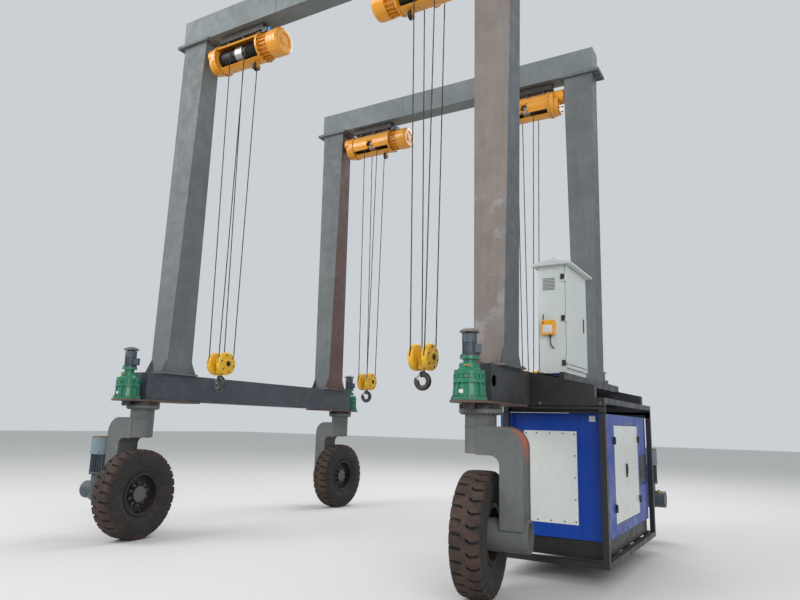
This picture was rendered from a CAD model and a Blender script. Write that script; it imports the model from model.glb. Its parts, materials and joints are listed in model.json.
"""Looks of a rubber-tyred portal machine: paint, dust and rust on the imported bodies, tyre tread,
fins, bolts, ropes, cables, louvres and other small detail. Lengths are in metres."""

import json
import math

import bmesh
import bpy
from mathutils import Matrix, Vector


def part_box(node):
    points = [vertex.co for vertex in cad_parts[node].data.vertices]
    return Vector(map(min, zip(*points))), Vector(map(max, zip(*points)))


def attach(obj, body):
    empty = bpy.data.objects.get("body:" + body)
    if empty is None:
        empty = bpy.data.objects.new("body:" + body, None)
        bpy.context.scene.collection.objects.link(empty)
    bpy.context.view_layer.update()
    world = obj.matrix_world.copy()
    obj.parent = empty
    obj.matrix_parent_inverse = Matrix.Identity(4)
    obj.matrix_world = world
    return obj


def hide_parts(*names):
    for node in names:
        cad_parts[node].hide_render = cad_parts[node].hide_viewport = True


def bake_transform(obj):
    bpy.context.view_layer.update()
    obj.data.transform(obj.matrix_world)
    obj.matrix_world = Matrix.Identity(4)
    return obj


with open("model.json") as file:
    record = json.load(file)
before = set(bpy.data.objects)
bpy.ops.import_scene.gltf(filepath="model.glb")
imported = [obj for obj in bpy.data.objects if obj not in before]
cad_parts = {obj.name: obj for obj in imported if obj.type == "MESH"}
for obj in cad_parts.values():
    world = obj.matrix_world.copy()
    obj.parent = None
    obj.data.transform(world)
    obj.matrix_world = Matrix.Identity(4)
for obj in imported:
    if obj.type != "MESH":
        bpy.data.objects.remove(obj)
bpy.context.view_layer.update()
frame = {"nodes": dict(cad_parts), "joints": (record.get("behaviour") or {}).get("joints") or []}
NODES = frame["nodes"]
JOINTS = {joint["name"]: joint for joint in frame["joints"]}
CORNERS = ("front_right", "front_left", "rear_left", "rear_right")
DRIVEN = ("front_left", "rear_right")

# Camera
CAMERA_AT = Vector((5.0188, -8.2118, 1.5522))
CAMERA_RIGHT = Vector((0.86318942, 0.50428226, 0.02456471))
CAMERA_UP = Vector((0.07303206, -0.17285723, 0.98223556))
LENS_MM = 29.45

# Main places, as the bodies have them
HOIST_Z = 6.870
PORTAL_Y = 1.800
BEAM_X = 2.450
REDUCER_Y = 2.540
REDUCER_Z = 1.786
MOTOR_Z = 2.196
RING_Z = 1.673
FOOT_PLATE_Z = 2.168
HOOK_X = 1.550
HOOK_Z = 2.290
SHEAVE_X = 0.088
SHEAVE_FACE = 0.126
ROPE_R = 0.007
ROPE_TWIST = 0.35
WHEEL_R = 0.570
CANOPY_SIDE = 3.350
CABINET_FRONT = -1.170
# Ends of a hoist's drum cover along the hoist, and what its flanges and drum measure
COVER_X = (1.160, 1.940)
FLANGE_T = 0.028
DRUM_R = 0.1275
GROOVE_PITCH = 0.020
# Travel drive, out from the steering axis: its flange, its motor and its end
DRIVE_FLANGE_X = 0.500
DRIVE_MOTOR_X = 0.680
DRIVE_END_X = 0.940
# Legs and beams: middle of a foot, head flange's underside, and just outside a beam's side
FOOT_Y = 1.860
HEAD_FLANGE_Z = 7.210
BEAM_SIDE = 0.151

UP = Vector((0, 0, 1))
ALONG_X = Matrix.Rotation(math.pi / 2, 4, "Y")
UPSIDE_DOWN = Matrix.Rotation(math.pi, 4, "X")
FACING_FRONT = Matrix.Rotation(math.pi / 2, 4, "X")
IDENTITY = Matrix.Identity(4)


def place(x, y, z):
    return Matrix.Translation((x, y, z))


def side_of(name):
    """+1 for a right or rear corner, -1 for a left or front one, across and lengthwise."""
    return (1 if name.endswith("right") else -1), (1 if name.startswith("rear") else -1)


def corner_frame(name):
    """Steering axis on the floor, with local X along the axle and away from the machine."""
    spin = JOINTS["roll_" + name]
    out = Vector(spin["axis"])
    across = UP.cross(out)
    turn = Matrix((out, across, UP)).transposed().to_4x4()
    x, y, _ = spin["pos_m"]
    return place(x, y, 0) @ turn


def wheel_frame(name):
    """Wheel centre, with local Z along the axle and away from the machine."""
    return corner_frame(name) @ place(0, 0, WHEEL_R) @ ALONG_X


def hoist_frame(name):
    """Hoist axis at the middle of a top beam, with local X towards the gearbox."""
    sx, sy = side_of(name)
    return place(0, sy * PORTAL_Y, HOIST_Z) @ Matrix.Diagonal((sx, 1, 1, 1))


# Materials


class Nodes:
    """A material's node tree, with short calls for what the recipes below use."""

    def __init__(self, name):
        self.material = bpy.data.materials.new(name)
        self.material.use_nodes = True
        self.tree = self.material.node_tree
        self.shader = self.tree.nodes["Principled BSDF"]
        self.place = self.add("ShaderNodeTexCoord").outputs["Object"]

    def add(self, kind, **settings):
        node = self.tree.nodes.new(kind)
        for key, value in settings.items():
            setattr(node, key, value)
        return node

    def link(self, source, target):
        self.tree.links.new(source, target)

    def stretched(self, scale):
        mapping = self.add("ShaderNodeMapping")
        mapping.inputs["Scale"].default_value = scale
        self.link(self.place, mapping.inputs["Vector"])
        return mapping.outputs["Vector"]

    def noise(self, scale, detail=5.0, rough=0.6, stretch=None):
        node = self.add("ShaderNodeTexNoise")
        node.inputs["Scale"].default_value = scale
        node.inputs["Detail"].default_value = detail
        node.inputs["Roughness"].default_value = rough
        self.link(self.stretched(stretch) if stretch else self.place, node.inputs["Vector"])
        return node.outputs["Fac"]

    def ramp(self, source, low, high, a=0.0, b=1.0):
        node = self.add("ShaderNodeMapRange")
        values = {"From Min": low, "From Max": high, "To Min": a, "To Max": b}
        for key, value in values.items():
            node.inputs[key].default_value = value
        self.link(source, node.inputs["Value"])
        return node.outputs["Result"]

    def math(self, operation, a, b):
        node = self.add("ShaderNodeMath", operation=operation, use_clamp=True)
        for socket, value in zip(node.inputs, (a, b)):
            if isinstance(value, (int, float)):
                socket.default_value = value
            else:
                self.link(value, socket)
        return node.outputs[0]

    def mix(self, factor, a, b):
        node = self.add("ShaderNodeMix", data_type="RGBA")
        for socket, value in ((node.inputs[0], factor), (node.inputs[6], a), (node.inputs[7], b)):
            if isinstance(value, (int, float)):
                socket.default_value = value
            elif isinstance(value, tuple):
                socket.default_value = (*value, 1.0)
            else:
                self.link(value, socket)
        return node.outputs[2]

    def facing(self, axis, low=0.3, high=0.95):
        """How much a face looks along a world axis: 0 at the low share, 1 at the high one."""
        geometry = self.add("ShaderNodeNewGeometry")
        split = self.add("ShaderNodeSeparateXYZ")
        self.link(geometry.outputs["Normal"], split.inputs[0])
        return self.ramp(split.outputs[axis], low, high)

    def fade(self, axis, start, end):
        """0 at the start and 1 at the end, by the place along a world axis."""
        split = self.add("ShaderNodeSeparateXYZ")
        self.link(self.place, split.inputs[0])
        return self.ramp(split.outputs[axis], start, end)

    def between(self, axis, low, high):
        """1 where the place along a world axis is between two values, and 0 elsewhere."""
        edge = 0.001
        above = self.fade(axis, low - edge, low + edge)
        return self.math("MULTIPLY", above, self.fade(axis, high + edge, high - edge))

    def bump(self, source, strength, distance=0.002):
        node = self.add("ShaderNodeBump")
        node.inputs["Strength"].default_value = strength
        node.inputs["Distance"].default_value = distance
        self.link(source, node.inputs["Height"])
        self.link(node.outputs["Normal"], self.shader.inputs["Normal"])

    def colour(self, value):
        if isinstance(value, tuple):
            self.shader.inputs["Base Color"].default_value = (*value, 1.0)
        else:
            self.link(value, self.shader.inputs["Base Color"])

    def rough(self, value):
        if isinstance(value, (int, float)):
            self.shader.inputs["Roughness"].default_value = value
        else:
            self.link(value, self.shader.inputs["Roughness"])


DUST = (0.30, 0.27, 0.24)
RED_DUST = (0.20, 0.085, 0.050)
RUST = (0.13, 0.045, 0.020)


def shade(colour, k):
    """The same colour, darker or lighter by a factor."""
    return tuple(min(1.0, c * k) for c in colour)


def painted(name, base, rough=0.5, mottle=0.18, dust=0.25, dust_colour=DUST, rust=0.0, streaks=0.3,
            coat=0.0, grain=0.25, gloss=0.5, zones=()):
    """Sprayed paint on plate: uneven tone, rain streaks, dust on what faces up, and rust spots.
    A zone is another colour and a function that gives its mask."""
    n = Nodes(name)
    tone = n.ramp(n.noise(1.7, 6.0), 0.32, 0.68)
    colour = n.mix(tone, shade(base, 1 - mottle), shade(base, 1 + mottle))
    for tint, mask in zones:
        colour = n.mix(mask(n), colour, n.mix(tone, shade(tint, 1 - mottle), shade(tint, 1 + mottle)))
    streak = n.ramp(n.noise(3.0, 4.0, stretch=(9.0, 9.0, 0.45)), 0.45, 0.75, 0.0, streaks * 0.4)
    colour = n.mix(streak, colour, (0.0, 0.0, 0.0))
    patch = n.ramp(n.noise(5.5, 8.0, 0.7), 0.50, 0.72)
    settled = n.math("MULTIPLY", n.math("ADD", patch, n.facing("Z")), dust)
    colour = n.mix(settled, colour, dust_colour)
    roughness = n.ramp(n.noise(7.0, 4.0), 0.3, 0.7, rough - 0.10, min(1.0, rough + 0.14))
    if rust:
        spot = n.ramp(n.noise(13.0, 9.0, 0.72), 0.66 - 0.12 * rust, 0.70 - 0.10 * rust)
        edge = n.ramp(n.noise(2.3, 3.0), 0.45, 0.62)
        spot = n.math("MULTIPLY", spot, edge)
        colour = n.mix(spot, colour, RUST)
        roughness = n.math("ADD", roughness, n.math("MULTIPLY", spot, 0.3))
    n.colour(colour)
    n.rough(roughness)
    n.shader.inputs["Specular IOR Level"].default_value = gloss
    n.shader.inputs["Coat Weight"].default_value = coat
    n.shader.inputs["Coat Roughness"].default_value = 0.12
    n.bump(n.noise(60.0, 4.0), grain, 0.0012)
    return n.material


def bare_metal(name, base, rough=0.35, grime=0.4):
    """Machined or drawn steel with grease and dark grime in patches."""
    n = Nodes(name)
    dirt = n.ramp(n.noise(9.0, 7.0, 0.7), 0.42, 0.66, 0.0, grime)
    n.colour(n.mix(dirt, base, shade(base, 0.25)))
    n.rough(n.ramp(n.noise(26.0, 5.0), 0.3, 0.7, rough - 0.08, rough + 0.22))
    n.shader.inputs["Metallic"].default_value = 0.85
    n.bump(n.noise(90.0, 3.0), 0.2, 0.0008)
    return n.material


def rubber(name, base, dust, dust_colour=RED_DUST, low=0.35):
    """Tyre rubber with dust rubbed into it."""
    n = Nodes(name)
    worn = n.ramp(n.noise(6.0, 8.0, 0.68), low, low + 0.3, 0.0, dust)
    fine = n.ramp(n.noise(45.0, 5.0), 0.4, 0.7, 0.0, 0.35)
    colour = n.mix(worn, base, dust_colour)
    n.colour(n.mix(fine, colour, shade(base, 0.6)))
    n.rough(n.ramp(n.noise(20.0, 4.0), 0.3, 0.7, 0.70, 0.95))
    n.bump(n.noise(120.0, 4.0), 0.35, 0.0015)
    return n.material


def plastic(name, base, rough=0.4):
    """Moulded plastic with a slightly uneven tone."""
    n = Nodes(name)
    n.colour(n.mix(n.ramp(n.noise(14.0, 5.0), 0.45, 0.75, 0.0, 0.3), base, shade(base, 0.7)))
    n.rough(n.ramp(n.noise(30.0, 3.0), 0.3, 0.7, rough - 0.06, rough + 0.12))
    n.bump(n.noise(200.0, 2.0), 0.1, 0.0005)
    return n.material


# Seam between an end box and its side beam, and the height where a travel motor's cowl ends
END_BOX_Y = 1.453
COWL_TOP = 1.266
PLATE_EDGE = (0.105, 0.062, 0.045)
GREY_BLUE = (0.082, 0.100, 0.112)


def end_plate_edge(n):
    """The flame-cut edge of the plates that carry the steering drives."""
    return n.between("Z", REDUCER_Z - 0.024, REDUCER_Z)


def outer_side(n):
    """What faces away from the machine on its right."""
    return n.facing("X", 0.5, 0.7)


def front_end_box(n):
    """The front end box of the right side beam, which has some paint."""
    return n.between("Y", -2.4, -END_BOX_Y)


def splash(n):
    """Ragged patches of pale paint on the lower part of the front right leg."""
    ragged = n.ramp(n.noise(3.2, 7.0, 0.65), 0.52, 0.66, 0.0, 0.7)
    return n.math("MULTIPLY", ragged, n.between("Z", 2.30, 4.20))


def rain_hat(n):
    """The hat over a steering motor."""
    return n.between("Z", MOTOR_Z + 0.228, MOTOR_Z + 0.30)


def fan_cowl(n):
    """The cowl on top of a travel motor."""
    return n.between("Z", 1.050, COWL_TOP)


def cowl_top(n):
    """The cap above that cowl."""
    return n.between("Z", COWL_TOP, 1.300)


def below_sheaves(n):
    """The crosshead and hook of a hook block at rest, which are left dark."""
    return n.between("Z", 1.0, HOOK_Z - 0.158)


def orange_strip(n):
    """The gooseneck's cover strip where it is bent, left in its primer."""
    bent = n.math("MULTIPLY", n.fade("Z", 1.20, 1.42), n.between("X", 2.60, 2.95))
    outer = n.math("ADD", n.facing("X", 0.3, 0.5), n.facing("Z", 0.3, 0.5))
    return n.math("MULTIPLY", n.math("MULTIPLY", bent, n.between("Z", 1.0, 1.545)), outer)


def make_materials():
    """All materials, under the short names that the nodes and pieces below go by."""
    leg = {"rough": 0.62, "mottle": 0.14, "dust": 0.16, "rust": 0.25, "streaks": 0.35}
    knuckle = {"base": (0.098, 0.104, 0.102), "rough": 0.6, "mottle": 0.14, "dust": 0.16, "rust": 0.25,
               "streaks": 0.2}
    return {
        "leg": painted("leg_primer", (0.112, 0.124, 0.128), **leg),
        "leg_brown": painted("leg_primer_brown", (0.165, 0.138, 0.122), **leg,
                             zones=[((0.27, 0.28, 0.28), splash), (GREY_BLUE, outer_side)]),
        "leg_red": painted("leg_primer_red", (0.118, 0.130, 0.132), **leg,
                           zones=[((0.105, 0.060, 0.052), outer_side)]),
        "beam_top": painted("top_beam_primer", (0.150, 0.172, 0.174), rough=0.6, mottle=0.14, dust=0.16,
                            rust=0.2, streaks=0.25),
        "beam_left": painted("left_beam_paint", (0.044, 0.056, 0.070), rough=0.55, mottle=0.15, dust=0.12,
                             rust=0.2, streaks=0.2, zones=[(PLATE_EDGE, end_plate_edge)]),
        "beam_right": painted("right_beam_mill_scale", (0.044, 0.036, 0.031), rough=0.6, mottle=0.3,
                              dust=0.16, dust_colour=(0.16, 0.12, 0.10), rust=0.5, streaks=0.3,
                              zones=[((0.036, 0.040, 0.043), front_end_box), (PLATE_EDGE, end_plate_edge)]),
        "knuckle": painted("knuckle_primer", **knuckle),
        "knuckle_orange": painted("knuckle_primer_orange", **knuckle,
                                  zones=[((0.36, 0.095, 0.045), orange_strip)]),
        "green": painted("reducer_green", (0.006, 0.165, 0.082), rough=0.34, mottle=0.12, dust=0.07,
                         dust_colour=(0.05, 0.12, 0.09), rust=0.05, streaks=0.2, coat=0.35),
        "motor": painted("motor_grey", (0.052, 0.072, 0.092), rough=0.45, mottle=0.15, dust=0.12,
                         rust=0.1, streaks=0.2, zones=[((0.125, 0.100, 0.088), rain_hat)]),
        "drive": painted("drive_grey", (0.052, 0.070, 0.082), rough=0.45, mottle=0.15, dust=0.14,
                         rust=0.15, streaks=0.2,
                         zones=[((0.150, 0.205, 0.240), fan_cowl), ((0.150, 0.105, 0.080), cowl_top)]),
        "amber": painted("hoist_amber", (0.70, 0.285, 0.012), rough=0.33, mottle=0.10, dust=0.03,
                         streaks=0.22, coat=0.35),
        "yellow": painted("block_yellow", (0.70, 0.39, 0.016), rough=0.42, mottle=0.12, dust=0.06,
                          dust_colour=(0.20, 0.13, 0.05), rust=0.35, streaks=0.3, coat=0.15,
                          zones=[((0.024, 0.022, 0.021), below_sheaves)]),
        "hanger": painted("hanger_black", (0.026, 0.024, 0.023), rough=0.6, mottle=0.3, dust=0.15,
                          rust=0.3, streaks=0.2),
        "blue": painted("canopy_blue", (0.007, 0.046, 0.290), rough=0.36, mottle=0.07, dust=0.02,
                        streaks=0.12, coat=0.08, grain=0.08, gloss=0.22),
        "white": painted("panel_white", (0.60, 0.63, 0.60), rough=0.32, mottle=0.04, dust=0.03,
                         streaks=0.08, coat=0.3, grain=0.08),
        "black": painted("frame_black", (0.014, 0.014, 0.015), rough=0.42, mottle=0.3, dust=0.08,
                         dust_colour=(0.10, 0.07, 0.06), rust=0.1, streaks=0.2),
        "cabinet": painted("cabinet_grey", (0.54, 0.585, 0.565), rough=0.45, mottle=0.04, dust=0.04,
                           streaks=0.08, grain=0.15),
        "rim": painted("rim_black", (0.016, 0.016, 0.016), rough=0.5, mottle=0.3, dust=0.18,
                       dust_colour=RED_DUST, rust=0.2, streaks=0.1),
        "hub": painted("hub_grey", (0.085, 0.085, 0.080), rough=0.6, mottle=0.15, dust=0.2,
                       dust_colour=RED_DUST, rust=0.1, streaks=0.1),
        "iron": painted("cast_block", (0.10, 0.10, 0.105), rough=0.6, mottle=0.2, dust=0.2),
        "receiver": plastic("receiver_yellow", (0.78, 0.36, 0.015), rough=0.4),
        "label": plastic("blank_label", (0.62, 0.61, 0.63), rough=0.5),
        "dark_plastic": plastic("black_plastic", (0.015, 0.015, 0.016), rough=0.45),
        "red_plastic": plastic("red_plastic", (0.35, 0.010, 0.020), rough=0.35),
        "blue_plastic": plastic("blue_box", (0.02, 0.15, 0.33), rough=0.4),
        "tread": rubber("tread_dusty", (0.022, 0.016, 0.013), dust=0.62, dust_colour=(0.110, 0.050, 0.031),
                        low=0.38),
        "side": rubber("sidewall", (0.017, 0.016, 0.015), dust=0.22, low=0.5),
        "steel": bare_metal("machined_steel", (0.42, 0.41, 0.39), rough=0.35, grime=0.4),
        "gear": bare_metal("ring_gear_steel", (0.125, 0.120, 0.112), rough=0.42, grime=0.7),
        "dark_steel": bare_metal("greased_steel", (0.055, 0.055, 0.058), rough=0.38, grime=0.6),
        "bolt": bare_metal("bolt_steel", (0.17, 0.165, 0.155), rough=0.42, grime=0.6),
        "rope": bare_metal("wire_rope", (0.060, 0.056, 0.050), rough=0.5, grime=0.6),
        "brass": bare_metal("brass_plug", (0.62, 0.36, 0.07), rough=0.3, grime=0.3),
    }


MAT = make_materials()

NODE_MATERIALS = {
    "side_beam_left": "beam_left", "side_beam_right": "beam_right", "top_beam": "beam_top", "leg": "leg",
    "leg_front_right": "leg_brown", "leg_rear_left": "leg_red", "ring_gear": "gear",
    "knuckle_front_right": "knuckle_orange",
    "steering_reducers": "green", "steering_motors": "motor", "hoist_drums": "dark_steel",
    "hoist_hangers": "hanger", "hoist": "amber", "generator_canopy": "blue", "generator_end_panel": "white",
    "generator_base": "black", "generator_engine": "iron", "generator_frame": "black",
    "generator_door": "white", "cabinet": "cabinet", "radio_receiver": "receiver", "knuckle": "knuckle",
    "travel_drive": "drive", "rim": "rim", "tyre": "side", "hook_block": "yellow", "ropes": "rope",
}


def dress_nodes():
    """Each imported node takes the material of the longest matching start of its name."""
    for name, node in NODES.items():
        start = max((key for key in NODE_MATERIALS if name.startswith(key)), key=len)
        node.data.materials.clear()
        node.data.materials.append(MAT[NODE_MATERIALS[start]])


# Shapes, all added to a bmesh


def piece(name, bm, materials, body, soft_deg=38):
    """Turns a bmesh into an object that rides on a body. Flat edges stay crisp."""
    bmesh.ops.recalc_face_normals(bm, faces=bm.faces)
    for face in bm.faces:
        face.smooth = True
    for edge in bm.edges:
        edge.smooth = len(edge.link_faces) == 2 and edge.calc_face_angle(0) < math.radians(soft_deg)
    mesh = bpy.data.meshes.new(name)
    bm.to_mesh(mesh)
    bm.free()
    for material in [materials] if isinstance(materials, str) else materials:
        mesh.materials.append(MAT[material])
    made = bpy.data.objects.new(name, mesh)
    bpy.context.scene.collection.objects.link(made)
    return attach(made, body)


def paint_faces(faces, index):
    """Gives faces a material by its place in the list that piece() gets."""
    for face in faces:
        face.material_index = index


def box(bm, lo, hi, at=IDENTITY, bevel=0.0, index=0):
    """A block from its low and high corners, with rounded edges where bevel is given."""
    lo, hi = Vector(lo), Vector(hi)
    size = hi - lo
    matrix = at @ Matrix.Translation((lo + hi) / 2) @ Matrix.Diagonal((*size, 1))
    made = bmesh.ops.create_cube(bm, size=1, matrix=matrix)["verts"]
    faces = {face for vert in made for face in vert.link_faces}
    paint_faces(faces, index)
    if bevel:
        edges = list({edge for vert in made for edge in vert.link_edges})
        done = bmesh.ops.bevel(bm, geom=edges, offset=bevel, segments=2, affect="EDGES", profile=0.6)
        paint_faces(done["faces"], index)


def ring(bm, at, radius, height, steps):
    """Vertices of a circle about local Z."""
    angles = [math.tau * i / steps for i in range(steps)]
    return [bm.verts.new(at @ Vector((radius * math.cos(a), radius * math.sin(a), height))) for a in angles]


def bridge(bm, a, b, index=0):
    """Faces between two closed loops with as many vertices each."""
    for i in range(len(a)):
        j = (i + 1) % len(a)
        bm.faces.new((a[i], a[j], b[j], b[i])).material_index = index


def revolve(bm, profile, at, steps=40, index=0):
    """Turns (radius, height) points about local Z, and caps the ends that don't reach the axis."""
    rings = [ring(bm, at, max(r, 1e-4), h, steps) for r, h in profile]
    for a, b in zip(rings, rings[1:]):
        bridge(bm, a, b, index=index)
    bm.faces.new(rings[0]).material_index = index
    bm.faces.new(list(reversed(rings[-1]))).material_index = index


def band(bm, profile, at, steps=40, index=0):
    """Turns a closed outline of (radius, height) points about local Z into a solid ring."""
    rings = [ring(bm, at, r, h, steps) for r, h in profile]
    for a, b in zip(rings, rings[1:] + rings[:1]):
        bridge(bm, a, b, index=index)


def circle_at(r, h, radius, steps):
    """Outline of a round bead for band()."""
    angles = [math.tau * i / steps for i in range(steps)]
    return [(r + radius * math.cos(a), h + radius * math.sin(a)) for a in angles]


def disc_profile(r, h0, h1, edge):
    """Outline of a disc with rounded edges."""
    return [(0, h0), (r - edge, h0), (r - edge * 0.3, h0 + edge * 0.3), (r, h0 + edge), (r, h1 - edge),
            (r - edge * 0.3, h1 - edge * 0.3), (r - edge, h1), (0, h1)]


def rod(bm, a, b, radius, steps=12, index=0):
    """A round bar between two points."""
    a, b = Vector(a), Vector(b)
    turn = (b - a).to_track_quat("Z", "Y").to_matrix().to_4x4()
    revolve(bm, [(radius, 0), (radius, (b - a).length)], Matrix.Translation(a) @ turn, steps, index)


def hexagon(bm, at, across, height, index=0):
    """A bolt head on its washer, on the plane of the place, along local Z."""
    revolve(bm, [(across * 0.80, 0), (across * 0.80, height * 0.22)], at, 12, index)
    r = across / math.sqrt(3)
    revolve(bm, [(r, height * 0.2), (r, height * 0.85), (r * 0.8, height)], at, 6, index)


def bolt_circle(bm, at, radius, count, across, height, start=0.0, index=0):
    """Bolt heads in a circle about local Z, on the plane of the place."""
    for i in range(count):
        a = start + math.tau * i / count
        hexagon(bm, at @ place(radius * math.cos(a), radius * math.sin(a), 0), across, height, index)


def smooth_path(points, steps=8):
    """Points of a soft curve through the given ones."""
    points = [Vector(p) for p in points]
    ends = [points[0] * 2 - points[1], *points, points[-1] * 2 - points[-2]]
    path = []
    for a, b, c, d in zip(ends, ends[1:], ends[2:], ends[3:]):
        for i in range(steps):
            t = i / steps
            path.append(0.5 * (2 * b + (c - a) * t + (2 * a - 5 * b + 4 * c - d) * t ** 2
                               + (3 * b - a - 3 * c + d) * t ** 3))
    return path + [points[-1]]


def tube(bm, path, radius, steps=8, index=0):
    """A round bar along a path, with as little twist as the path allows."""
    path = [Vector(p) for p in path]
    side = None
    rings = []
    for i, point in enumerate(path):
        along = (path[min(i + 1, len(path) - 1)] - path[max(i - 1, 0)]).normalized()
        if side is None:
            side = along.orthogonal().normalized()
        side = (side - along * side.dot(along)).normalized()
        at = Matrix((side, along.cross(side), along)).transposed().to_4x4()
        rings.append(ring(bm, Matrix.Translation(point) @ at, radius, 0, steps))
    for a, b in zip(rings, rings[1:]):
        bridge(bm, a, b, index=index)
    bm.faces.new(rings[0]).material_index = index
    bm.faces.new(list(reversed(rings[-1]))).material_index = index


def plate_xz(bm, outline, y0, y1, at=IDENTITY, index=0):
    """A plate with an outline in local XZ, between two Y."""
    sides = [[bm.verts.new(at @ Vector((x, y, z))) for x, z in outline] for y in (y0, y1)]
    bridge(bm, *sides, index=index)
    for verts in sides:
        bm.faces.new(verts).material_index = index


# Wheels

TYRE_PITCHES = 30
GROOVE_DEPTH = 0.024
# Shares of a pitch by which a groove bends and by which the two sides are staggered
LUG_BEND = 0.16
LUG_STAGGER = 0.55
# Half width over which the stagger comes in, and half width of the tread
LUG_MIDDLE = 0.05
TREAD_HALF = 0.14
# Radius above which the lugs' faces are worn and dusty
SHOULDER_R = 0.515
# Place of each column within one pitch, and whether the groove is at full depth there
GROOVE_COLUMNS = [(0.00, 0), (0.05, 1), (0.20, 1), (0.25, 0), (0.42, 0), (0.62, 0), (0.82, 0)]
# Half section of the tyre: distance along the axle, radius, share of the groove's depth
TYRE_HALF = [
    (0.000, 0.570, 0.0), (0.022, 0.5697, 0.0), (0.026, 0.5696, 1.0), (0.060, 0.569, 1.0),
    (0.095, 0.567, 1.0), (0.118, 0.563, 1.0), (0.130, 0.556, 1.0), (0.136, 0.543, 0.9),
    (0.140, 0.522, 0.55), (0.143, 0.503, 0.0), (0.146, 0.500, 0.0), (0.149, 0.480, 0.0),
    (0.154, 0.462, 0.0), (0.1575, 0.430, 0.0), (0.1565, 0.400, 0.0), (0.153, 0.372, 0.0),
    (0.156, 0.368, 0.0), (0.156, 0.360, 0.0), (0.151, 0.355, 0.0), (0.145, 0.335, 0.0),
    (0.134, 0.312, 0.0), (0.122, 0.292, 0.0), (0.1125, 0.281, 0.0), (0.1125, 0.256, 0.0),
]


def tyre(name):
    """Tyre with staggered, slanting lug grooves over both shoulders."""
    at = wheel_frame(name)
    bm = bmesh.new()
    section = [(-w, r, g) for w, r, g in reversed(TYRE_HALF[1:])] + TYRE_HALF
    tread = [i for i, (w, r, g) in enumerate(section) if r > SHOULDER_R]
    side, dusty = range(2)
    loops = []
    for pitch in range(TYRE_PITCHES):
        for share, cut in GROOVE_COLUMNS:
            loop = []
            for w, r, g in section:
                bend = LUG_BEND * math.sin(abs(w) / TREAD_HALF * math.pi)
                lean = bend + LUG_STAGGER * max(-1.0, min(1.0, w / LUG_MIDDLE)) / 2
                a = math.tau * (pitch + share + lean) / TYRE_PITCHES
                depth = r - GROOVE_DEPTH * g * cut
                loop.append(bm.verts.new(at @ Vector((depth * math.cos(a), depth * math.sin(a), w))))
            loops.append((loop, cut))
    for (a, cut_a), (b, cut_b) in zip(loops, loops[1:] + loops[:1]):
        for i in range(len(section) - 1):
            face = bm.faces.new((a[i], b[i], b[i + 1], a[i + 1]))
            crown = tread[0] <= i < tread[-1]
            groove = (cut_a or cut_b) and (section[i][2] > 0.2 or section[i + 1][2] > 0.2)
            face.material_index = dusty if crown and not groove else side
    made = piece("tyre_tread_" + name, bm, ["side", "tread"], "wheel_" + name, 32)
    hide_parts("tyre_" + name)


def rim_detail(name):
    """Lock ring, wheel studs, hub cover and valve."""
    at = wheel_frame(name)
    bm = bmesh.new()
    _, bolt, hub = range(3)
    for side in (-1, 1):
        band(bm, circle_at(0.262, side * 0.1265, 0.005, 8), at, 64)
    band(bm, [(0.215, -0.0305), (0.232, -0.0305), (0.236, -0.040), (0.232, -0.046), (0.215, -0.046)], at, 48)
    inner = at @ UPSIDE_DOWN
    bolt_circle(bm, inner @ place(0, 0, 0.0505), 0.135, 10, 0.030, 0.026, index=bolt)
    revolve(bm, [(0.098, 0.0855), (0.098, 0.093), (0.092, 0.097), (0.0, 0.097)], inner, 40, hub)
    outer = at @ place(0, 0, -0.026)
    bolt_circle(bm, outer, 0.150, 10, 0.030, 0.024, index=bolt)
    rod(bm, inner @ Vector((0.225, 0.02, 0.045)), inner @ Vector((0.205, 0.02, 0.095)), 0.007, 8, bolt)
    piece("rim_fittings_" + name, bm, ["rim", "bolt", "hub"], "wheel_" + name)


# Knuckles and their drives


def knuckle_detail(name):
    """Flange bolts of a slewing ring, the post's weld beads and a grease nipple."""
    at = corner_frame(name)
    bm = bmesh.new()
    _, paint = range(2)
    bolt_circle(bm, at @ place(0, 0, RING_Z) @ UPSIDE_DOWN, 0.185, 24, 0.020, 0.014)
    for z, r in ((1.545, 0.153), (RING_Z - 0.002, 0.156)):
        band(bm, circle_at(r, z, 0.006, 6), at, 48, paint)
    tube(bm, [at @ Vector((x, -0.166, 1.62)) for x in (0.0, 0.004)], 0.006, 6)
    piece("knuckle_fittings_" + name, bm, ["bolt", "knuckle"], "knuckle_" + name)


def drive_detail(name):
    """Bolts, hoisting eye, terminal box and plugs of a travel drive."""
    at = corner_frame(name)
    motor = at @ place(DRIVE_MOTOR_X, 0, 0)
    bm = bmesh.new()
    _, bolt, cowl, brass = range(4)
    bolt_circle(bm, motor @ place(0, 0, 0.794) @ UPSIDE_DOWN, 0.143, 12, 0.020, 0.014, index=bolt)
    revolve(bm, disc_profile(0.158, 1.2805, 1.290, 0.004), motor, 48, cowl)
    for i in range(6):
        turn = motor @ Matrix.Rotation(math.tau * i / 6, 4, "Z")
        hexagon(bm, turn @ place(0.165, 0, 1.075) @ ALONG_X, 0.012, 0.008, bolt)
    box(bm, (-0.075, -0.222, 0.88), (0.075, -0.140, 1.02), motor, 0.008)
    rod(bm, motor @ Vector((0, -0.18, 0.88)), motor @ Vector((0, -0.18, 0.85)), 0.014, 10, bolt)
    bolt_circle(bm, at @ place(DRIVE_FLANGE_X, 0, WHEEL_R) @ ALONG_X, 0.132, 10, 0.024, 0.016, index=bolt)
    bolt_circle(bm, at @ place(DRIVE_END_X, 0, WHEEL_R) @ ALONG_X, 0.095, 8, 0.018, 0.003, index=bolt)
    rod(bm, at @ Vector((0.86, -0.06, 0.66)), at @ Vector((0.86, -0.06, 0.705)), 0.018, 10, brass)
    piece("travel_drive_fittings_" + name, bm, ["drive", "bolt", "drive", "brass"], "knuckle_" + name)


# Steering drives


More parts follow.
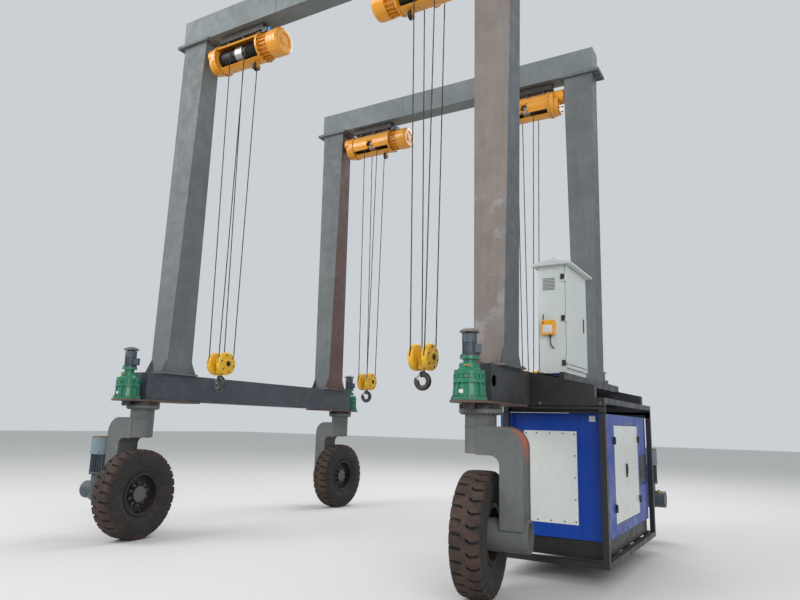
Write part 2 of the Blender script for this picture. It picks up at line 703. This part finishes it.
def reducer_detail():
    """Bolts and studs of the steering reducers' tiers, oil plugs and a blank plate."""
    bm = bmesh.new()
    _, bolt, brass, label = range(4)
    for name in CORNERS:
        sx, sy = side_of(name)
        at = place(sx * BEAM_X, sy * REDUCER_Y, REDUCER_Z)
        bolt_circle(bm, at @ place(0, 0, 0.026), 0.157, 16, 0.018, 0.014, math.pi / 16, bolt)
        for i in range(16):
            turn = at @ Matrix.Rotation(math.tau * i / 16, 4, "Z")
            rod(bm, turn @ Vector((0.1455, 0, 0.150)), turn @ Vector((0.1455, 0, 0.162)), 0.0085, 6)
            rod(bm, turn @ Vector((0.1465, 0, 0.195)), turn @ Vector((0.1465, 0, 0.241)), 0.0045, 8)
            hexagon(bm, turn @ place(0.1365, 0, 0.268), 0.016, 0.012)
        bolt_circle(bm, at @ place(0, 0, 0.410), 0.0835, 6, 0.011, 0.008, 0.3, bolt)
        bolt_circle(bm, at @ place(0, 0, 0.340), 0.082, 8, 0.014, 0.010, 0.1)
        for a, z, r in ((-1.45, 0.320, 0.099), (-1.25, 0.320, 0.099), (-1.35, 0.214, 0.140)):
            out = Vector((math.cos(a), math.sin(a), 0))
            base = Vector((0, 0, z)) + out * (r - 0.012)
            rod(bm, at @ base, at @ (base + out * 0.032), 0.010, 10, brass)
        plate = at @ Matrix.Rotation(-1.767, 4, "Z")
        box(bm, (0.1355, -0.028, 0.062), (0.1385, 0.028, 0.096), plate, index=label)
    piece("reducer_fittings", bm, ["green", "bolt", "brass", "label"], "gantry")


def motor_detail():
    """Bolts, hat brackets and terminal box lids of the steering motors."""
    bm = bmesh.new()
    _, bolt, gland = range(3)
    for name in CORNERS:
        sx, sy = side_of(name)
        at = place(sx * BEAM_X, sy * REDUCER_Y, MOTOR_Z)
        bolt_circle(bm, at @ place(0, 0, 0.012), 0.081, 6, 0.011, 0.008, 0.3, bolt)
        for i in range(4):
            turn = at @ Matrix.Rotation(math.tau * (i + 0.5) / 4, 4, "Z")
            hexagon(bm, turn @ place(0.072, 0, 0.158) @ ALONG_X, 0.008, 0.006, bolt)
            box(bm, (0.066, -0.004, 0.214), (0.073, 0.004, 0.232), turn)
        boxed = at @ Matrix.Rotation(math.radians(25), 4, "Z")
        rod(bm, boxed @ Vector((0.085, 0, 0.038)), boxed @ Vector((0.085, 0, 0.012)), 0.010, 10, gland)
        box(bm, (0.109, -0.039, 0.033), (0.1125, 0.039, 0.123), boxed, 0.001)
    piece("motor_fittings", bm, ["motor", "bolt", "dark_plastic"], "gantry")


# Beams and legs


def frame_detail():
    """Channels across the top of the generator's frame, under the side beam."""
    bm = bmesh.new()
    _, bolt = range(2)
    x0, x1, z0, z1 = 2.300, 3.400, 1.711, 1.786
    for side in (-1, 1):
        for y0, y1, low, high in ((1.240, 1.247, z0, z1), (1.240, 1.300, z0, z0 + 0.008),
                                  (1.240, 1.300, z1 - 0.008, z1)):
            ends = sorted((side * y0, side * y1))
            box(bm, (x0, ends[0], low), (x1, ends[1], high))
    for x in (2.72, 3.36):
        for y in (-1.302, 1.302):
            face = place(x, y, 1.81) @ Matrix.Rotation(-math.copysign(math.pi / 2, y), 4, "X")
            hexagon(bm, face, 0.024, 0.014, bolt)
    piece("frame_channels", bm, ["black", "bolt"], "gantry")


def beam_detail():
    """Bolts of the flanges and foot plates, and weld seams."""
    bm = bmesh.new()
    for name in CORNERS:
        sx, sy = side_of(name)
        for x in (-0.265, 0.265, 0.315):
            for y in (-0.13, 0.0, 0.13):
                below = place(sx * (BEAM_X + x), sy * (PORTAL_Y + y), HEAD_FLANGE_Z) @ UPSIDE_DOWN
                hexagon(bm, below, 0.030, 0.020)
        for x in (-0.185, -0.06, 0.06, 0.185):
            for y in (-0.265, 0.265):
                hexagon(bm, place(sx * BEAM_X + x, sy * FOOT_Y + y, FOOT_PLATE_Z), 0.026, 0.018)
    piece("frame_bolts", bm, "bolt", "gantry")

    bm = bmesh.new()
    side_paint, top_paint = range(2)
    for y in (-END_BOX_Y, END_BOX_Y):
        for x in (BEAM_X - BEAM_SIDE, BEAM_X + BEAM_SIDE):
            tube(bm, [(x, y, 1.790), (x, y, 2.144)], 0.004, 6, side_paint)
    for x in (-0.85, 0.85):
        for y in (-PORTAL_Y - BEAM_SIDE, PORTAL_Y - BEAM_SIDE, -PORTAL_Y + BEAM_SIDE, PORTAL_Y + BEAM_SIDE):
            tube(bm, [(x, y, 7.252), (x, y, 7.648)], 0.004, 6, top_paint)
    piece("weld_seams", bm, ["beam_right", "beam_top"], "gantry")


# Hoists


def side_cover(bm, at, side, x0, x1, low_deg):
    """Closes the drum cover on one side, from an angle below the axis up to its upper strip."""
    angles = [math.radians(low_deg + (26 - low_deg) * i / 14) for i in range(15)]
    arcs = [[(side * r * math.cos(a), r * math.sin(a)) for a in angles] for r in (0.204, 0.197)]
    plate_xz(bm, arcs[0] + arcs[1][::-1], -x1, -x0, at @ Matrix.Rotation(math.pi / 2, 4, "Z"))


def hoist_detail(name):
    """Side cover with its rope window, flange bolts, rope turns, rope guide and junction boxes."""
    at = hoist_frame(name)
    side = -side_of(name)[1]
    along = at @ ALONG_X
    back = along @ UPSIDE_DOWN
    bm = bmesh.new()
    _, bolt, rope, steel, plastic_box, blue_box = range(6)
    revolve(bm, [(0.0, 0.773), (0.046, 0.773), (0.054, 0.782), (0.0, 0.782)], along, 40)
    window = (HOOK_X - 0.060, HOOK_X + 0.060)
    side_cover(bm, at, side, COVER_X[0], window[0], -38)
    side_cover(bm, at, side, *window, 8)
    side_cover(bm, at, side, window[1], COVER_X[1], -38)
    eye = at @ place(HOOK_X, side * 0.199, -0.050) @ FACING_FRONT
    band(bm, circle_at(0.066, 0, 0.010, 8), eye, 32)
    for x in (0.862, 0.950):
        band(bm, [(0.190, x - 0.008), (0.1945, x - 0.005), (0.1945, x + 0.005), (0.190, x + 0.008)],
             along, 56)
    bolt_circle(bm, back @ place(0, 0, FLANGE_T - COVER_X[0]), 0.202, 16, 0.018, 0.014, 0.1, bolt)
    bolt_circle(bm, back @ place(0, 0, -COVER_X[1]), 0.2125, 20, 0.011, 0.012, 0.1, bolt)
    bolt_circle(bm, along @ place(0, 0, COVER_X[1] + FLANGE_T), 0.2135, 20, 0.010, 0.012, 0.1, bolt)
    upper_dome = at @ place(0, 0, 0.105) @ ALONG_X
    band(bm, [(0.116, 2.090), (0.1215, 2.094), (0.1215, 2.106), (0.116, 2.110)], upper_dome, 44)
    for y, z in ((-0.085, -0.11), (0.085, -0.11), (-0.115, -0.01), (0.115, -0.01)):
        hexagon(bm, at @ place(2.118, y, z) @ ALONG_X, 0.018, 0.012, bolt)
    for i in range(11):
        h = COVER_X[0] + 0.037 + i * GROOVE_PITCH
        band(bm, circle_at(DRUM_R, h, 0.006, 6), along, 36, rope)
    band(bm, [(0.128, 1.490), (0.1315, 1.490), (0.1315, 1.620), (0.128, 1.620)], along, 40, steel)
    box(bm, (1.030, -0.110, 0.168), (1.128, 0.030, 0.252), at, 0.006, plastic_box)
    box(bm, (0.982, -0.100, 0.168), (1.027, 0.020, 0.232), at, 0.006, blue_box)
    rod(bm, at @ Vector((1.250, 0, -0.269)), at @ Vector((1.330, 0, -0.269)), 0.012, 12, bolt)
    for share in (0.12, 0.5, 0.88):
        x = COVER_X[0] + share * (COVER_X[1] - COVER_X[0])
        for y in (-0.032, 0.032):
            hexagon(bm, at @ place(x + 0.012, y, 0.242) @ ALONG_X, 0.020, 0.014, bolt)
            hexagon(bm, at @ place(x - 0.012, y, 0.242) @ ALONG_X @ UPSIDE_DOWN, 0.020, 0.014, bolt)
    made = piece("hoist_fittings_" + name, bm,
                 ["amber", "bolt", "rope", "steel", "dark_plastic", "blue_plastic"], "gantry", 32)


def hook_block_detail(name):
    """Bosses, cover bolts and axle nuts of the sheaves, and the hook's collar and latch."""
    sx, sy = side_of(name)
    at = place(sx * HOOK_X, sy * PORTAL_Y, HOOK_Z)
    bm = bmesh.new()
    _, dark, steel = range(3)
    for side in (-1, 1):
        face = at @ place(side * SHEAVE_FACE, 0, 0) @ Matrix.Rotation(side * math.pi / 2, 4, "Y")
        revolve(bm, [(0.078, -0.002), (0.078, 0.002), (0.072, 0.0045), (0.0, 0.0045)], face, 40)
        bolt_circle(bm, face, 0.112, 6, 0.014, 0.008, 0.26, dark)
        hexagon(bm, face @ place(0, 0, 0.013), 0.044, 0.012, dark)
    latch = [(-0.082, -0.218), (-0.030, -0.188), (-0.024, -0.196), (-0.076, -0.226)]
    plate_xz(bm, latch, -0.014, 0.014, at, steel)
    band(bm, [(0.026, -0.188), (0.040, -0.188), (0.040, -0.170), (0.026, -0.170)], at, 24, dark)
    piece("hook_block_fittings_" + name, bm, ["yellow", "dark_steel", "steel"], "hook_block_" + name)


def ropes(name):
    """Four falls of laid wire rope, straight from the block to the drum as the block moves."""
    sx, sy = side_of(name)
    lo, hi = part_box("ropes_" + name)
    top_x = (hi.x - lo.x) / 2 - ROPE_R
    side_y = (hi.y - lo.y) / 2 - ROPE_R
    levels = 46
    bm = bmesh.new()
    for ox in (-1, 1):
        for oy in (-1, 1):
            rings = []
            for i in range(levels + 1):
                z = lo.z + (hi.z - lo.z) * i / levels
                x = sx * HOOK_X + ox * (SHEAVE_X + (top_x - SHEAVE_X) * i / levels)
                y = sy * PORTAL_Y + oy * side_y
                loop = []
                for k in range(12):
                    a = math.tau * k / 12 + i * ROPE_TWIST
                    r = ROPE_R * (1.0 if k % 2 == 0 else 0.90)
                    loop.append(bm.verts.new((x + r * math.cos(a), y + r * math.sin(a), z)))
                rings.append(loop)
            for a, b in zip(rings, rings[1:]):
                bridge(bm, a, b)
            bm.faces.new(rings[0])
            bm.faces.new(rings[-1])
    mesh = bpy.data.meshes.new("rope_falls_" + name)
    bmesh.ops.recalc_face_normals(bm, faces=bm.faces)
    bm.to_mesh(mesh)
    bm.free()
    mesh.materials.append(MAT["rope"])
    made = bpy.data.objects.new("rope_falls_" + name, mesh)
    bpy.context.scene.collection.objects.link(made)
    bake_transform(made)
    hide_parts("ropes_" + name)


# Generator


def hinge_covers(bm, side, along, low, high, reach, index):
    """Black paint over one half of each hinge of a leaf, between two heights above the hinge's foot."""
    y = -0.711 if side < 0 else 0.586
    ends = sorted((y + along * 0.008, y + along * reach))
    for foot in (0.675, 1.390):
        sleeve = [(0.0105, low), (0.0118, low), (0.0118, high), (0.0105, high)]
        band(bm, sleeve, place(CANOPY_SIDE + 0.012, y, foot), 20, index)
        box(bm, (CANOPY_SIDE + 0.0005, ends[0], foot + low), (CANOPY_SIDE + 0.0116, ends[1], foot + high),
            index=index)


def panel_screws(bm):
    """Domed screws round the edge of the bolted end panel."""
    lo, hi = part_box("generator_end_panel")
    spots = []
    for i in range(5):
        z = lo.z + 0.03 + (hi.z - lo.z - 0.06) * i / 4
        spots += [(x, z) for x in (lo.x + 0.025, hi.x - 0.025)]
    for i in range(1, 4):
        x = lo.x + (hi.x - lo.x) * i / 4
        spots += [(x, z) for z in (lo.z + 0.025, hi.z - 0.025)]
    for x, z in spots:
        revolve(bm, [(0.009, 0), (0.008, 0.004), (0.004, 0.006), (0, 0.006)],
                place(x, lo.y, z) @ FACING_FRONT, 10)


def generator_detail():
    """Panel screws, seams, the control window, hinge covers, handles and blank labels."""
    lo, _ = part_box("generator_canopy")
    right = CANOPY_SIDE
    bm = bmesh.new()
    _, blue, black, dark, label = range(5)
    panel_screws(bm)
    for x in (2.36, 3.10):
        box(bm, (x - 0.006, lo.y - 0.006, 0.45), (x + 0.006, lo.y + 0.002, 1.69), bevel=0.002, index=blue)
    window = right - 0.014
    box(bm, (window - 0.002, 0.640, 0.885), (window + 0.004, 1.095, 1.225), bevel=0.002, index=black)
    box(bm, (window + 0.003, 0.700, 0.960), (window + 0.008, 0.960, 1.150), bevel=0.002, index=dark)
    box(bm, (3.205, lo.y - 0.002, 1.625), (3.270, lo.y + 0.001, 1.685), index=label)
    box(bm, (2.640, lo.y - 0.002, 1.478), (2.730, lo.y + 0.001, 1.500), index=label)
    for side in (-1, 1):
        hinge_covers(bm, side, side, -0.0006, 0.0400, 0.0326, black)
    piece("generator_fittings", bm, ["bolt", "blue", "dark_plastic", "hanger", "label"], "gantry")

    _, black, steel = range(3)
    for side, name in ((-1, "front"), (1, "rear")):
        bm = bmesh.new()
        if side < 0:
            _, door_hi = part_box("generator_door_" + name)
            y0, y1 = door_hi.y - 0.075, door_hi.y - 0.030
            box(bm, (right, y0, 1.015), (right + 0.014, y1, 1.165), bevel=0.005, index=black)
            box(bm, (right + 0.014, y0 + 0.009, 1.055), (right + 0.020, y1 - 0.009, 1.150), bevel=0.003,
                index=steel)
        hinge_covers(bm, side, -side, 0.0404, 0.0809, 0.0386, black)
        piece("generator_door_fittings_" + name, bm, ["white", "dark_plastic", "dark_steel"],
              "generator_door_" + name)


# Cabinet


def cabinet_detail():
    """Louvre blades, hinges and feet, and the door's handle and drip edge."""
    front = CABINET_FRONT
    bm = bmesh.new()
    _, paint = range(2)
    x0, x1, z0, z1 = 2.728, 2.868, 3.070, 3.215
    for i in range(9):
        z = z0 + (z1 - z0) * i / 9 + 0.009
        tilt = place(0, front - 0.003, z) @ Matrix.Rotation(math.radians(35), 4, "X")
        box(bm, (x0, -0.006, -0.001), (x1, 0.006, 0.001), tilt, index=paint)
    for z in (2.25, 2.742, 3.21):
        box(bm, (2.935, front - 0.014, z - 0.032), (2.976, front, z + 0.032), bevel=0.004)
    for y in (-1.10, -0.44):
        box(bm, (2.70, y - 0.03, 2.139), (2.97, y + 0.03, 2.146), bevel=0.001, index=paint)
    piece("cabinet_fittings", bm, ["dark_plastic", "cabinet"], "gantry")

    bm = bmesh.new()
    box(bm, (2.998, -0.530, 2.66), (3.008, -0.500, 2.82), bevel=0.003)
    box(bm, (2.999, -1.155, 2.232), (3.003, -0.385, 2.238))
    piece("cabinet_door_fittings", bm, ["dark_plastic"], "cabinet_door")


def receiver_detail():
    """Blank plate, button, aerial, gland and lead of the radio receiver."""
    lo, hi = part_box("radio_receiver")
    bm = bmesh.new()
    _, red, black = range(3)
    box(bm, (lo.x + 0.022, lo.y - 0.003, lo.z + 0.020), (hi.x - 0.022, lo.y + 0.001, hi.z - 0.055),
        bevel=0.001)
    revolve(bm, disc_profile(0.011, 0, 0.008, 0.002),
            place(lo.x + 0.028, lo.y, hi.z - 0.028) @ FACING_FRONT, 16, red)
    aerial = Vector((lo.x + 0.018, lo.y + 0.030, hi.z))
    rod(bm, aerial, aerial + UP * 0.075, 0.006, 8, black)
    gland = Vector(((lo.x + hi.x) / 2 + 0.02, lo.y + 0.033, lo.z))
    rod(bm, gland - UP * 0.028, gland, 0.013, 12, black)
    tail = smooth_path([(2.816, lo.y + 0.033, lo.z - 0.02), (2.817, lo.y + 0.03, lo.z - 0.07),
                        (2.826, lo.y + 0.035, lo.z - 0.12), (2.850, lo.y + 0.062, lo.z - 0.150)])
    tube(bm, tail, 0.007, 8, black)
    piece("receiver_fittings", bm, ["label", "red_plastic", "dark_plastic"], "gantry")


# Stage


def stage():
    """Pale floor, plain sky, three soft lights and the camera."""
    mesh = bpy.data.meshes.new("floor")
    size = 60.0
    corners = [(-size, -size, 0), (size, -size, 0), (size, size, 0), (-size, size, 0)]
    mesh.from_pydata(corners, [], [(0, 1, 2, 3)])
    floor = bpy.data.objects.new("floor", mesh)
    bpy.context.scene.collection.objects.link(floor)
    n = Nodes("pale_floor")
    n.colour((0.62, 0.61, 0.59))
    n.rough(0.85)
    mesh.materials.append(n.material)

    world = bpy.data.worlds.new("studio")
    world.use_nodes = True
    world.node_tree.nodes["Background"].inputs["Color"].default_value = (0.80, 0.84, 0.88, 1.0)
    world.node_tree.nodes["Background"].inputs["Strength"].default_value = 0.75
    bpy.context.scene.world = world

    # Each light: place, aim, size, power
    lights = [
        ((-9.0, -12.0, 11.0), (0.0, 0.0, 3.0), 9.0, 1500.0),
        ((10.0, -11.0, 7.0), (1.0, -1.0, 2.0), 8.0, 800.0),
        ((0.0, 9.0, 14.0), (0.0, 0.0, 3.0), 10.0, 1300.0),
    ]
    for at, aim, width, power in lights:
        data = bpy.data.lights.new("softbox", "AREA")
        data.size = width
        data.energy = power
        lamp = bpy.data.objects.new("softbox", data)
        lamp.location = at
        lamp.rotation_euler = (Vector(at) - Vector(aim)).to_track_quat("Z", "Y").to_euler()
        bpy.context.scene.collection.objects.link(lamp)

    data = bpy.data.cameras.new("camera")
    data.lens = LENS_MM
    data.sensor_width = 36.0
    data.clip_end = 200.0
    camera = bpy.data.objects.new("camera", data)
    back = CAMERA_RIGHT.cross(CAMERA_UP)
    turn = Matrix((CAMERA_RIGHT, CAMERA_UP, back)).transposed().to_4x4()
    camera.matrix_world = Matrix.Translation(CAMERA_AT) @ turn
    bpy.context.scene.collection.objects.link(camera)
    bpy.context.scene.camera = camera
    bpy.context.scene.view_settings.view_transform = "Standard"


stage()
dress_nodes()
for corner in CORNERS:
    tyre(corner)
    rim_detail(corner)
    knuckle_detail(corner)
    hoist_detail(corner)
    hook_block_detail(corner)
    ropes(corner)
for corner in DRIVEN:
    drive_detail(corner)
reducer_detail()
motor_detail()
beam_detail()
frame_detail()
generator_detail()
cabinet_detail()
receiver_detail()
